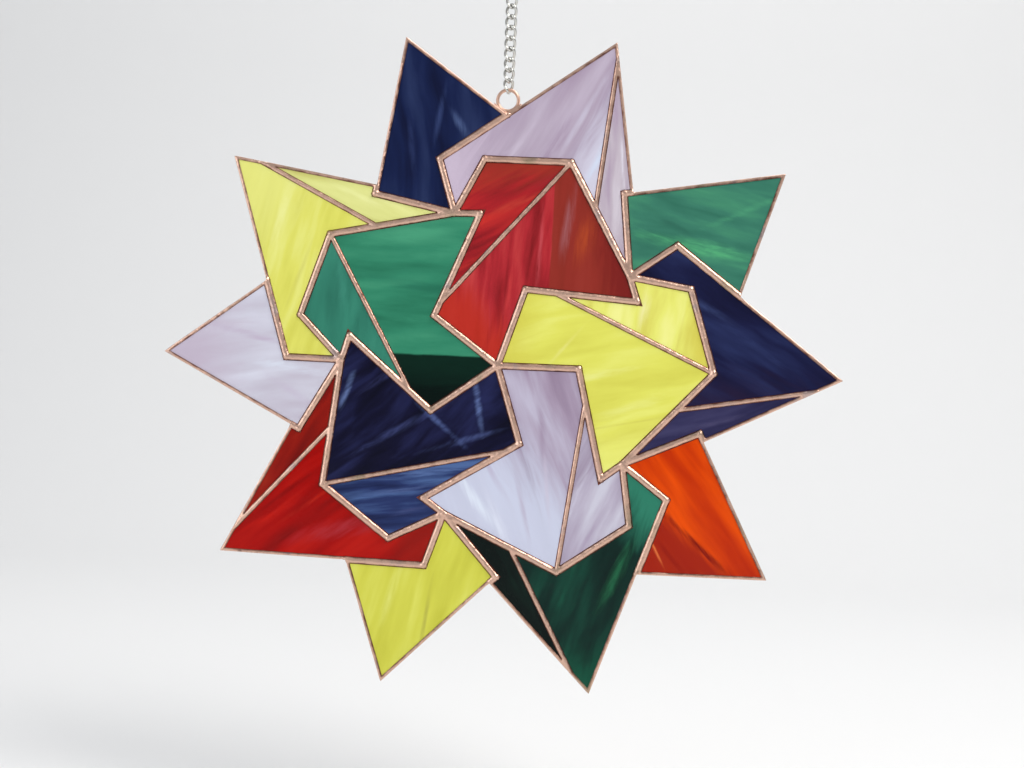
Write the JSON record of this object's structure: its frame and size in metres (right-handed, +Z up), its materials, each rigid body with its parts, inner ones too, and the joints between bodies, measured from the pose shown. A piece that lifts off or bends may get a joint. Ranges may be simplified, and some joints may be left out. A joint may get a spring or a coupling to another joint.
{
  "type": "stained glass star",
  "caption": "Flat star of coloured glass panes in copper foil and solder, hung on a twisted chain to catch the light.",
  "frame": {"origin": "where a hook bears in the ring at the top of the chain", "axes": "+Z up, the front of the star faces -Y, +X to the right"},
  "size_m": [0.305, 0.01, 0.3254],
  "materials": {
    "glass_red": "streaky red art glass, glossy",
    "glass_orange": "orange to red art glass, glossy",
    "glass_yellow": "lemon opal art glass, glossy",
    "glass_white": "white and lilac opal art glass, glossy",
    "glass_violet": "mauve and white streaky art glass, glossy",
    "glass_blue": "deep navy wispy art glass, glossy",
    "glass_green": "teal green streaky art glass, glossy",
    "copper_foil": "thin copper foil, tinned",
    "copper_solder": "solder bead with a copper patina, satin",
    "copper_wire": "patinated wire, satin",
    "chain_metal": "bright silver plating"
  },
  "bodies": {
    "hook_ring": {"top_ring": "chain_metal"},
    "link_10": {"chain_link_10": "chain_metal"},
    "link_09": {"chain_link_09": "chain_metal"},
    "link_08": {"chain_link_08": "chain_metal"},
    "link_07": {"chain_link_07": "chain_metal"},
    "link_06": {"chain_link_06": "chain_metal"},
    "link_05": {"chain_link_05": "chain_metal"},
    "link_04": {"chain_link_04": "chain_metal"},
    "link_03": {"chain_link_03": "chain_metal"},
    "link_02": {"chain_link_02": "chain_metal"},
    "link_01": {"chain_link_01": "chain_metal"},
    "star": {"foil_1": "copper_foil", "foil_2": "copper_foil", "foil_3": "copper_foil", "foil_4": "copper_foil", "foil_5": "copper_foil", "pane_inner_large_blue": "glass_blue", "pane_inner_large_green": "glass_green", "pane_inner_large_red": "glass_red", "pane_inner_large_violet": "glass_violet", "pane_inner_large_yellow": "glass_yellow", "pane_inner_small_blue": "glass_blue", "pane_inner_small_green": "glass_green", "pane_inner_small_red": "glass_red", "pane_inner_small_violet": "glass_violet", "pane_inner_small_yellow": "glass_yellow", "pane_outer_large_blue": "glass_blue", "pane_outer_large_green": "glass_green", "pane_outer_large_red": "glass_red", "pane_outer_large_violet": "glass_violet", "pane_outer_large_yellow": "glass_yellow", "pane_outer_single_blue": "glass_blue", "pane_outer_single_green": "glass_green", "pane_outer_single_red": "glass_orange", "pane_outer_single_violet": "glass_white", "pane_outer_single_yellow": "glass_yellow", "pane_outer_sliver_blue": "glass_blue", "pane_outer_sliver_green": "glass_green", "pane_outer_sliver_red": "glass_red", "pane_outer_sliver_violet": "glass_violet", "pane_outer_sliver_yellow": "glass_yellow", "solder": "copper_solder", "star_ring": "copper_wire"}
  },
  "joints": [
    {"name": "link_10_tilt", "type": "hinge", "parent": "hook_ring", "child": "link_10", "pos_m": [0, 0, -0.00864], "axis": [0.7771, -0.6293, 0], "range_deg": [-15, 15]},
    {"name": "link_09_tilt", "type": "hinge", "parent": "link_10", "child": "link_09", "pos_m": [0, 0, -0.0148], "axis": [0.5736, 0.8192, 0], "range_deg": [-15, 15]},
    {"name": "link_08_tilt", "type": "hinge", "parent": "link_09", "child": "link_08", "pos_m": [0, 0, -0.01809], "axis": [0.7771, -0.6293, 0], "range_deg": [-15, 15]},
    {"name": "link_07_tilt", "type": "hinge", "parent": "link_08", "child": "link_07", "pos_m": [0, 0, -0.02423], "axis": [0.5736, 0.8192, 0], "range_deg": [-15, 15]},
    {"name": "link_06_tilt", "type": "hinge", "parent": "link_07", "child": "link_06", "pos_m": [0, 0, -0.02753], "axis": [0.7771, -0.6293, 0], "range_deg": [-15, 15]},
    {"name": "link_05_tilt", "type": "hinge", "parent": "link_06", "child": "link_05", "pos_m": [0, 0, -0.03367], "axis": [0.5736, 0.8192, 0], "range_deg": [-15, 15]},
    {"name": "link_04_tilt", "type": "hinge", "parent": "link_05", "child": "link_04", "pos_m": [0, 0, -0.03696], "axis": [0.8616, -0.5075, 0], "range_deg": [-15, 15]},
    {"name": "link_03_tilt", "type": "hinge", "parent": "link_04", "child": "link_03", "pos_m": [0, 0, -0.04312], "axis": [0.4462, 0.8949, 0], "range_deg": [-15, 15]},
    {"name": "link_02_tilt", "type": "hinge", "parent": "link_03", "child": "link_02", "pos_m": [0, 0, -0.04641], "axis": [0.9724, -0.2334, 0], "range_deg": [-15, 15]},
    {"name": "link_01_tilt", "type": "hinge", "parent": "link_02", "child": "link_01", "pos_m": [0, 0, -0.05255], "axis": [0.165, 0.9863, 0], "range_deg": [-15, 15]},
    {"name": "star_swing", "type": "hinge", "parent": "link_01", "child": "star", "pos_m": [0, 0, -0.05577], "axis": [1, 0, 0], "range_deg": [-45, 45]}
  ]
}
